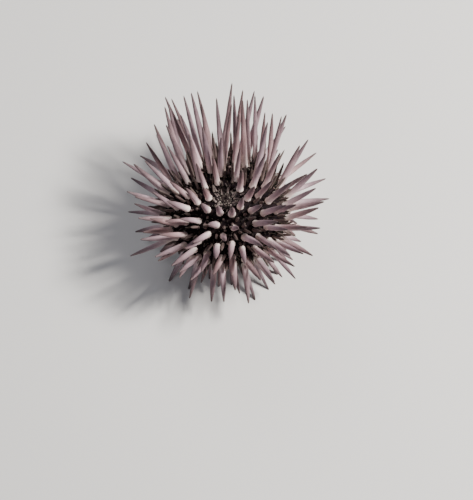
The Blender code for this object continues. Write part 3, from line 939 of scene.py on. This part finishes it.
# %% Tube feet
TUBE_PROFILE = [(0.0, -1.2), (1.2, -1.0), (0.98, 0.15), (1.05, 0.4), (0.9, 0.65), (0.95, 0.86)]
TUBE_PROFILE += [(2.0, 0.94), (1.7, 1.0), (0.0, 0.97)]
TUBE_SHADES = [(0.0, (0.02, 0.011, 0.013)), (0.75, (0.04, 0.02, 0.022))]
TUBE_SHADES += [(0.92, (0.09, 0.055, 0.05)), (1.0, (0.13, 0.09, 0.08))]
TUBES_IN_A_ROW = 46
TUBE_TOP = math.radians(62)
TUBE_STEP = math.radians(2.6)


def tube_foot_stands(standing, chance):
    made = []
    for zone in range(0, ZONE_COUNT, 2):
        for side in (-1, 1):
            for number in range(TUBES_IN_A_ROW):
                latitude = TUBE_TOP - TUBE_STEP * number
                longitude = zone_centre(zone) + side * zone_span(zone) * (0.43 + 0.03 * (number % 2))
                root, normal, heading, steep = lie(longitude, latitude)
                reach = (2.2 + 3.2 * smooth(-latitude / 0.9) + chance.uniform(0, 2.2)) * MM
                way = pointed(heading + chance.uniform(-0.4, 0.4), steep - 0.3 + chance.uniform(-0.3, 0.3))
                if root[2] + way[2] * reach < 0.8 * MM or way @ normal < 0.3:
                    continue
                thick = chance.uniform(0.2, 0.27) * MM
                if standing.takes(root, way, reach, 2 * thick, 0.06 * MM):
                    made.append((root, way, reach, thick, chance.uniform(-0.2, 0.2)))
    return made


def tube_foot_finish():
    finish = Finish("tube_foot_skin", shine=0.5)
    colour, blotch, _, along = blotched(finish, 1200, 3, 0.2, TUBE_SHADES)
    finish.raised((along * 120).wave(), 0.05 * MM, 0.6)
    return finish.shows(colour, 0.35 + blotch * 0.15)


TUBE_PATTERN = spun(TUBE_PROFILE, 7, slim=16)
tube_feet = copies("tube_feet", TUBE_PATTERN, tube_foot_stands(standing, chance))
dressed(tube_feet, tube_foot_finish(), "skin")

# %% [markdown]
# ## Pincers
# Between the spines stand tiny stalked pincers, each with three jaws, that keep the skin clean. The
# pattern is a spun stalk with one spun jaw set round its top three times. Sculpting the jaws would
# show no more at this size.

# %% Pincers
PINCER_HEAD = 0.8
JAW_OUT = 0.75
PINCER_SHADES = [(0.0, (0.03, 0.018, 0.02)), (0.7, (0.05, 0.034, 0.032))]
PINCER_SHADES += [(0.85, (0.15, 0.13, 0.105)), (1.0, (0.11, 0.09, 0.075))]


def pincer_pattern():
    stalk = spun([(0.0, -1.0), (0.6, -0.6), (0.5, 0.4), (0.9, PINCER_HEAD), (0.0, 0.86)], 5)
    jaw = spun([(0.0, -0.2), (0.9, 0.2), (0.5, 0.75), (0.0, 1.0)], 4)
    bm = bmesh.new()
    for number, form in enumerate((stalk, jaw, jaw, jaw)):
        verts, faces = added(bm, form)
        patch = bm.loops.layers.uv["OFBake"]
        for face in faces:
            for loop in face.loops:
                loop[patch].uv.x = (number + 0.95 * loop[patch].uv.x) / 4
        if number:
            lean = Matrix.Rotation(number * math.tau / 3, 4, "Z") @ Matrix.Rotation(0.08, 4, "Y")
            for vert in verts:
                spot = lean @ Vector((vert.co.x + JAW_OUT, vert.co.y, 0))
                vert.co = Vector((spot.x, spot.y, PINCER_HEAD + 0.2 * vert.co.z))
    return as_mesh("pincer", bm)


def pincer_finish():
    finish = Finish("pincer_skin", shine=0.4)
    colour, blotch, *_ = blotched(finish, 1500, 2, 0.2, PINCER_SHADES)
    return finish.shows(colour, 0.45 + blotch * 0.2)


rooms = fill_in(
    standing, chance, 420, -0.7, radius=(0.2, 0.26), length=(1.9, 3.2), clearance=0.08, tries=3, keep=0.5
)
pincer_stands = [(root, way, reach, thick * 0.8, bend * 2) for root, way, reach, thick, bend in rooms]
dressed(copies("pincers", pincer_pattern(), pincer_stands), pincer_finish(), "skin")

# %% [markdown]
# ## Plates of the apical disc
# At the top of the test lies a ring of ten small plates. The five larger ones each have a pore, and
# the five small ones stand between their outer ends. A plate starts as a flat grid bent into a
# stretch of the ring, is drawn up and has its edges bevelled. Grooves cut into a dome would be
# shorter work, but the plates would then share one curve, and in life each swells by itself.

# %% Plates of the apical disc
PLATE_SINK = 0.5 * MM


def add_plate(bm, zone, half_span, inner, outer, rise, crown):
    """A domed plate with five rounded sides, wide towards the middle of the test and blunt outside."""
    verts = bmesh.ops.create_grid(bm, x_segments=8, y_segments=6, size=0.5)["verts"]
    for vert in verts:
        side, out = 2 * vert.co.x, vert.co.y + 0.5
        narrow = 1 - 0.42 * smooth((out - 0.55) / 0.45) - 0.1 * smooth((0.3 - out) / 0.3)
        radius = inner + (outer - inner) * (out - 0.12 * side * side * smooth(out))
        vert.co = ring_point(radius, zone_centre(zone) + half_span * side * narrow, DISC_LEVEL - PLATE_SINK)
    faces = list(dict.fromkeys(face for vert in verts for face in vert.link_faces))
    drawn = bmesh.ops.extrude_face_region(bm, geom=faces)
    tops = [item for item in drawn["geom"] if isinstance(item, bmesh.types.BMVert)]
    middle = sum((vert.co / len(tops) for vert in tops), Vector())
    span = max((vert.co - middle).length for vert in tops)
    for vert in tops:
        away = (vert.co - middle).length / span
        vert.co.z += rise + crown * (1 - away * away)
    around = dict.fromkeys(e for vert in tops for e in vert.link_edges if len(e.link_faces) == 2)
    return [e for e in around if abs(e.link_faces[0].normal.z - e.link_faces[1].normal.z) > 0.5]


def joined_piece(name, bm, rims=(), bevel=0):
    if rims:
        bmesh.ops.bevel(bm, geom=rims, offset=bevel, segments=2, affect="EDGES", profile=0.5, material=-1)
    bmesh.ops.recalc_face_normals(bm, faces=bm.faces)
    for face in bm.faces:
        face.smooth = True
    bmesh.ops.translate(bm, verts=bm.verts, vec=PLACE)
    return shown(name, as_mesh(name, bm))


def plate_finish(name, light, dark):
    finish = Finish(name, shine=0.12)
    cloud = finish.noise(900, 5)
    pits = 1 - finish.between(finish.cells(2400), 0.1, 0.3)
    colour = finish.ramp(cloud, [(0.32, dark), (0.5, light), (0.72, dark)])
    # The pits get a fixed dark colour: painted shade.
    colour = finish.mixed(pits * 0.6, colour, (0.015, 0.01, 0.012))
    finish.raised((1 - pits) * 0.7 + cloud * 0.3, 0.12 * MM, 0.9)
    return finish.shows(colour, 0.5 + cloud * 0.25)


bm, rims = bmesh.new(), []
for zone in range(ZONE_COUNT):
    if zone == MADREPORITE_ZONE:
        continue
    half_span, inner, outer = math.radians(12), 1.15 * MM, 0.25 * MM
    if zone % 2:
        half_span, inner, outer = math.radians(23), 0.35 * MM, 0.1 * MM
    ends = PERIPROCT_RADIUS + inner, APICAL_RADIUS + outer
    rims += add_plate(bm, zone, half_span, *ends, 0.72 * MM, 0.16 * MM)
DISC_FINISH = plate_finish("apical_plate", (0.016, 0.0105, 0.0115), (0.006, 0.004, 0.0045))
dressed(joined_piece("apical_plates", bm, rims, 0.12 * MM), DISC_FINISH, "plates", "apical_disc")

# %% [markdown]
# ## The madreporite
# One of the larger plates is a sieve, through which the animal tops up the fluid that works its tube
# feet. It swells more than the others and is a little paler, so it is a piece of its own. Its pores
# are far too fine for the mesh, and the finish makes them as sunk pits with painted shade in them.

# %% Madreporite
bm = bmesh.new()
ends = PERIPROCT_RADIUS + 0.25 * MM, APICAL_RADIUS + 0.35 * MM
rims = add_plate(bm, MADREPORITE_ZONE, math.radians(25), *ends, 0.8 * MM, 0.34 * MM)
SIEVE_FINISH = plate_finish("madreporite_sieve", (0.024, 0.016, 0.0155), (0.008, 0.005, 0.006))
dressed(joined_piece("madreporite_plate", bm, rims, 0.14 * MM), SIEVE_FINISH, "plates", "madreporite")

# %% [markdown]
# ## Pores and grains of the disc
# Each large plate has a pore near its outer end, from which the animal sheds its eggs. That of the
# sieve can't be told from its other pores, so it is left out. Pale grains of many sizes stand all over
# the disc. Both are spun and copied upright, because a finish alone would look flat from the side.

# %% Pores and grains
CRATER_PROFILE = [(0.0, -0.6), (1.0, -0.5), (0.95, 0.2), (0.62, 1.0), (0.36, 0.8), (0.3, 0.1), (0.0, 0.05)]
GRAIN_PROFILE = [(0.0, -0.8), (1.0, -0.6), (0.95, 0.3), (0.6, 0.85), (0.0, 1.0)]
UPRIGHT = (0, 0, 1)
PORE_PLACE = 3.75 * MM
GRAIN_TRIES = 110

pore_stands = [
    (ring_point(PORE_PLACE, zone_centre(zone), DISC_LEVEL + 0.3 * MM), UPRIGHT, 0.16 * MM, 0.32 * MM, 0)
    for zone in range(1, ZONE_COUNT, 2)
    if zone != MADREPORITE_ZONE
]
dressed(copies("genital_pores", spun(CRATER_PROFILE, 12, slim=1), pore_stands), DISC_FINISH, "plates")

chance = random.Random(SEED + 5)
grain_stands = []
for _ in range(GRAIN_TRIES):
    radius, turn = chance.uniform(1.1, 4.5) * MM, chance.uniform(0, math.tau)
    zone = zone_at(turn)
    on_sieve = zone == MADREPORITE_ZONE and radius > 2.2 * MM
    on_pore = zone % 2 and abs(radius - PORE_PLACE) < 0.4 * MM
    if on_sieve or on_pore:
        continue
    size = chance.choice((0.08, 0.11, 0.15, 0.22)) * MM
    level = DISC_LEVEL + 0.26 * MM + 0.45 * MM * max(0.0, 1 - radius / PERIPROCT_RADIUS)
    grain_stands.append((ring_point(radius, turn, level), UPRIGHT, size, size, 0))
GRAIN_FINISH = plate_finish("grain", (0.26, 0.235, 0.195), (0.05, 0.042, 0.038))
dressed(copies("disc_grains", spun(GRAIN_PROFILE, 7, slim=1), grain_stands), GRAIN_FINISH, "plates")

# %% [markdown]
# ## Small plates round the anus
# The middle of the disc is a low cone, paved with small plates that overlap like roof tiles, so that
# it can open. The golden angle lays them out once more, and each leans outwards with the cone's side.

# %% Small plates round the anus
PLATELET = spun([(0.0, -0.6), (1.0, -0.4), (1.0, 0.35), (0.8, 0.85), (0.0, 1.0)], 6, slim=1)
PLATELET_COUNT = 40

cone_stands = []
for k in range(PLATELET_COUNT):
    radius = 0.45 * MM + 1.5 * MM * math.sqrt(k / (PLATELET_COUNT - 1))
    turn = k * GOLDEN_TURN
    share = radius / PERIPROCT_RADIUS
    place = ring_point(radius, turn, DISC_LEVEL + 0.24 * MM + 0.5 * MM * (1 - share))
    way = (0.42 * math.cos(turn), 0.42 * math.sin(turn), 0.9)
    cone_stands.append((place, way, 0.09 * MM, (0.27 + 0.1 * share) * MM, 0))
PERIPROCT_FINISH = plate_finish("periproct_plate", (0.029, 0.02, 0.0185), (0.01, 0.0065, 0.007))
dressed(copies("periproct_plates", PLATELET, cone_stands), PERIPROCT_FINISH, "plates", "periproct")

# %% [markdown]
# ## Short spines of the disc
# Stubby pale spines stand on the plates, and are the specks that show in the dark disc from afar.
# They are tried by chance, with more room asked between them than the finest spines have.

# %% Short spines of the disc
DISC_SPINE_TRIES = 110
DISC_SHADES = [(0.42, 0.35, 0.31), (0.26, 0.205, 0.19), (0.15, 0.115, 0.11), (0.1, 0.08, 0.07)]

disc_stands = []
for k in range(DISC_SPINE_TRIES):
    zone = k % ZONE_COUNT
    if zone == MADREPORITE_ZONE:
        continue
    turn = zone_centre(zone) + chance.uniform(-0.3, 0.3)
    radius = chance.uniform(2.2, 5.6) * MM
    way = pointed(turn + chance.uniform(-1.1, 1.1), chance.uniform(0.5, 1.3))
    level = min(DISC_LEVEL + 0.22 * MM, level_of(latitude_at(radius)) + 0.25 * MM)
    root = ring_point(radius, turn, level)
    thick = chance.uniform(0.17, 0.38) * MM
    reach = thick * chance.uniform(4.5, 9)
    if standing.takes(root, way, reach, thick, 0.12 * MM):
        disc_stands.append((root + way * 0.2 * MM, way, reach, thick, 0.02))
disc_piece = copies("disc_spines", SMALL_PATTERN, disc_stands)
dressed(disc_piece, small_spine_finish("disc_spine_calcite", DISC_SHADES), "spines")

# %% [markdown]
# ## The mouth's membrane
# Underneath, a soft membrane closes the round opening of the test, and its lip rings the teeth. It is
# a lathe shape, like the skin. Its folds run out from the lip, and a sine round the mouth, pushed
# about by noise, raises them. A sculpted sheet would show no more at this size.

# %% Membrane of the mouth
MEMBRANE_EDGE = 8.7
MEMBRANE_STEPS = 14
FOLD_COUNT = 40


def membrane_profile():
    """Steps in millimetres out from the axis, and up from the rim."""
    lip = MOUTH_RADIUS / MM + 0.25
    yield from [(0.0, 1.5), (lip, 1.3), (lip, 0.2)]
    yield from [(lip + 0.1, -0.55), (lip + 0.4, -0.86), (lip + 0.9, -0.8)]
    start = lip + 1.3
    for k in range(MEMBRANE_STEPS + 1):
        share = k / MEMBRANE_STEPS
        wrinkle = 0.07 * math.sin(k * 2.1)
        yield start + (MEMBRANE_EDGE - start) * share, -0.55 + 0.8 * smooth(share) + wrinkle
    yield from [(MEMBRANE_EDGE + 0.05, 0.9), (MEMBRANE_EDGE - 0.5, 1.9), (0.0, 2.1)]


def membrane():
    mesh = oval([(radius * MM, RIM_LEVEL + level * MM) for radius, level in membrane_profile()], 150)
    for vert in mesh.vertices:
        spot = vert.co.copy()
        away = spot.xy.length - MOUTH_RADIUS
        if spot.z < RIM_LEVEL + 0.6 * MM and away > 0:
            fold = math.sin(math.atan2(spot.y, spot.x) * FOLD_COUNT + 3 * noise.noise(spot * 300))
            vert.co.z += 0.06 * MM * fold * smooth(away / (2 * MM))
            vert.co.z += 0.08 * MM * noise.noise(spot * 1100)
    mesh.transform(Matrix.Translation(PLACE))
    return shown("mouth_membrane", mesh)


def membrane_finish():
    finish = Finish("mouth_membrane", shine=0.5)
    cloud, dots = finish.noise(600, 5), finish.cells(1700)
    shades = [(0.3, (0.035, 0.02, 0.022)), (0.55, (0.085, 0.05, 0.05)), (0.75, (0.14, 0.095, 0.085))]
    colour = finish.ramp(cloud, shades)
    colour = finish.mixed((1 - finish.between(dots, 0.1, 0.25)) * 0.6, colour, (0.22, 0.18, 0.15))
    finish.raised(cloud * 0.6 + (1 - dots) * 0.4, 0.16 * MM, 0.8)
    return finish.shows(colour, 0.34 + cloud * 0.25)


MEMBRANE_FINISH = membrane_finish()
dressed(membrane(), MEMBRANE_FINISH, "skin", "peristome")

# %% [markdown]
# ## The teeth
# Five hard white teeth meet in the middle of the mouth, and scrape off what the animal eats. A tooth
# starts as an oval face, which is drawn down in steps that lean inwards. Every step has its own width,
# so the tooth narrows to a chisel end, where a bent cylinder would stay blunt.

# %% Teeth
# Each step of a tooth: out from the axis, up from the rim, half its width and half its depth, in mm.
TOOTH_STEPS = [(1.55, 1.25, 0.62, 0.45), (1.46, 0.3, 0.64, 0.45), (1.28, -0.6, 0.56, 0.38)]
TOOTH_STEPS += [(0.94, -1.25, 0.43, 0.28), (0.52, -1.7, 0.27, 0.16), (0.27, -1.9, 0.13, 0.06)]
TOOTH_SIDES = 10


def add_tooth(bm, turn):
    ring = bmesh.ops.create_circle(bm, segments=TOOTH_SIDES, radius=1, cap_ends=True)["verts"]
    face = next(iter(ring[0].link_faces))
    for number, (out, level, wide, deep) in enumerate(TOOTH_STEPS):
        if number:
            drawn = bmesh.ops.extrude_face_region(bm, geom=[face])
            new_face = next(g for g in drawn["geom"] if isinstance(g, bmesh.types.BMFace))
            if number > 1:
                bmesh.ops.delete(bm, geom=[face], context="FACES_ONLY")
            face, ring = new_face, list(new_face.verts)
        for place, vert in enumerate(ring):
            round_tooth = math.tau * place / TOOTH_SIDES
            spot = Vector((math.cos(round_tooth) * deep + out, math.sin(round_tooth) * wide, level)) * MM
            vert.co = Matrix.Rotation(turn, 3, "Z") @ spot + Vector((0, 0, RIM_LEVEL))


def tooth_finish():
    finish = Finish("tooth_enamel", shine=0.6)
    cloud, grain = finish.noise(1400, 3), finish.noise(5200, 2)
    colour = finish.ramp(cloud, [(0.3, (0.6, 0.53, 0.42)), (0.6, (0.8, 0.76, 0.68))])
    finish.raised(grain, 0.04 * MM, 0.5)
    return finish.shows(colour, 0.22 + cloud * 0.15)


bm = bmesh.new()
for zone in range(1, ZONE_COUNT, 2):
    add_tooth(bm, zone_centre(zone))
dressed(joined_piece("teeth", bm), tooth_finish(), "teeth", "lantern_teeth")

# %% [markdown]
# ## Stout feet and gills
# Ten stout feet stand in pairs near the lip and taste what the animal eats. A bushy gill sits in each
# of ten notches of the rim. Both are soft like the membrane and share its finish. A gill is a tuft of
# eleven copied lobes, because a tree of real branches would be lost at this size.

# %% Stout feet round the lip, and gills
STOUT_PROFILE = [(0.0, -1.6), (1.3, -1.4), (1.25, 0.0), (1.1, 0.3), (1.2, 0.6), (1.7, 0.8), (1.9, 0.92)]
STOUT_PROFILE += [(1.3, 1.0), (0.5, 0.9), (0.0, 0.9)]
STOUT_PLACE = 5.4 * MM
STOUT_TURN = math.radians(11)
GILL_PROFILE = [(0.0, -0.6), (0.6, -0.5), (0.7, 0.2), (1.0, 0.6), (0.7, 0.95), (0.0, 1.03)]
LOBES = 11

foot_stands, gill_stands = [], []
for zone in range(0, ZONE_COUNT, 2):
    for side in (-1, 1):
        turn = zone_centre(zone) + side * STOUT_TURN
        root = ring_point(STOUT_PLACE, turn, RIM_LEVEL - 0.1 * MM)
        way = (0.25 * math.cos(turn), 0.25 * math.sin(turn), -0.968)
        foot_stands.append((root, way, 1.9 * MM, 0.3 * MM, chance.uniform(-0.06, 0.06)))
dressed(copies("mouth_feet", spun(STOUT_PROFILE, 12, slim=6), foot_stands), MEMBRANE_FINISH, "skin")

for zone in range(1, ZONE_COUNT, 2):
    for side in (-1, 1):
        for _ in range(LOBES):
            turn = zone_centre(zone) + side * zone_span(zone) * 0.4 + chance.uniform(-0.07, 0.07)
            radius = PERISTOME_RADIUS + chance.uniform(-0.5, 0.25) * MM
            root = ring_point(radius, turn, RIM_LEVEL + 0.1 * MM)
            way = pointed(turn, -1) + (chance.uniform(-0.6, 0.6), chance.uniform(-0.6, 0.6), 0)
            way /= np.linalg.norm(way)
            gill_stands.append((root, way, chance.uniform(0.8, 1.5) * MM, 0.24 * MM, 0.1))
dressed(copies("gills", spun(GILL_PROFILE, 7, slim=5), gill_stands), MEMBRANE_FINISH, "skin")

# %% [markdown]
# ## The floor
# The model stands on plain pale paper, which shows its outline and its shadow and nothing else. The
# floor is no part of the model, so it is set on no body.

# %% Floor
FLOOR_SIZE = 3.0


def floor_finish():
    finish = Finish("floor_paper")
    colour = finish.mixed(finish.noise(3, 2) * 0.5, (0.62, 0.61, 0.59), (0.68, 0.67, 0.65))
    return finish.shows(colour, 0.85)


bm = bmesh.new()
bmesh.ops.create_grid(bm, x_segments=1, y_segments=1, size=FLOOR_SIZE / 2)
floor = shown("floor", as_mesh("floor", bm))
floor.data.materials.append(floor_finish())

# %% [markdown]
# ## Light
# The key light is small and stands high on the right, so that the spines on the left are bright and
# those on the right darker, with black valleys between them. Two soft lamps and a dim world keep the
# valleys from closing up. An even light would show more, but the animal would look flat.

# %% Lights
def add_light(name, place, size, power, colour):
    lamp = bpy.data.lights.new(name, "AREA")
    lamp.shape, lamp.size, lamp.energy, lamp.color = "DISK", size, power, colour
    light = bpy.data.objects.new(name, lamp)
    light.location = place
    light.rotation_euler = (PLACE - Vector(place)).to_track_quat("-Z", "Y").to_euler()
    bpy.context.scene.collection.objects.link(light)
    print(name, "light:", power, "W")


add_light("key", (0.56, 0.06, 0.64), 0.2, 19.5, (1, 0.97, 0.93))
add_light("fill", (-0.6, -0.35, 0.55), 0.5, 1.2, (0.9, 0.93, 1))
add_light("back", (-0.3, 0.7, 0.45), 0.4, 2.4, (0.95, 0.95, 1))

world = bpy.data.worlds.new("studio")
world.use_nodes = True
sky = world.node_tree.nodes["Background"].inputs
sky["Color"].default_value, sky["Strength"].default_value = (0.8, 0.85, 1, 1), 0.15
bpy.context.scene.world = world

# %% [markdown]
# ## Camera
# The camera looks steeply down from the front through a long lens, which keeps the far spines nearly
# as large as the near ones. Its place sets the animal off centre in the frame, up and to the left. A
# shifted lens could do that too, but would be one more thing to undo for other views.

# %% Camera
FRAME_PIXELS = (473, 500)
PIXEL = 0.363 * MM
TEST_PIXEL = (226, 211)
CAMERA_ELEVATION = math.radians(68)
CAMERA_DISTANCE = 1.6

back = Vector((0, -math.cos(CAMERA_ELEVATION), math.sin(CAMERA_ELEVATION)))
up = Vector((0, math.sin(CAMERA_ELEVATION), math.cos(CAMERA_ELEVATION)))
aim = PLACE + Vector((0, 0, AMBITUS_LEVEL))
aim += Vector((1, 0, 0)) * (FRAME_PIXELS[0] / 2 - TEST_PIXEL[0]) * PIXEL
aim -= up * (FRAME_PIXELS[1] / 2 - TEST_PIXEL[1]) * PIXEL
lens = bpy.data.cameras.new("camera")
lens.sensor_width = 36
lens.lens = lens.sensor_width * CAMERA_DISTANCE / (FRAME_PIXELS[1] * PIXEL)
lens.clip_start, lens.clip_end = 0.05, 20
camera = bpy.data.objects.new("camera", lens)
camera.location = aim + back * CAMERA_DISTANCE
camera.rotation_euler = back.to_track_quat("Z", "Y").to_euler()
bpy.context.scene.collection.objects.link(camera)
bpy.context.scene.camera = camera
print("lens", round(lens.lens, 1), "mm")

# %% [markdown]
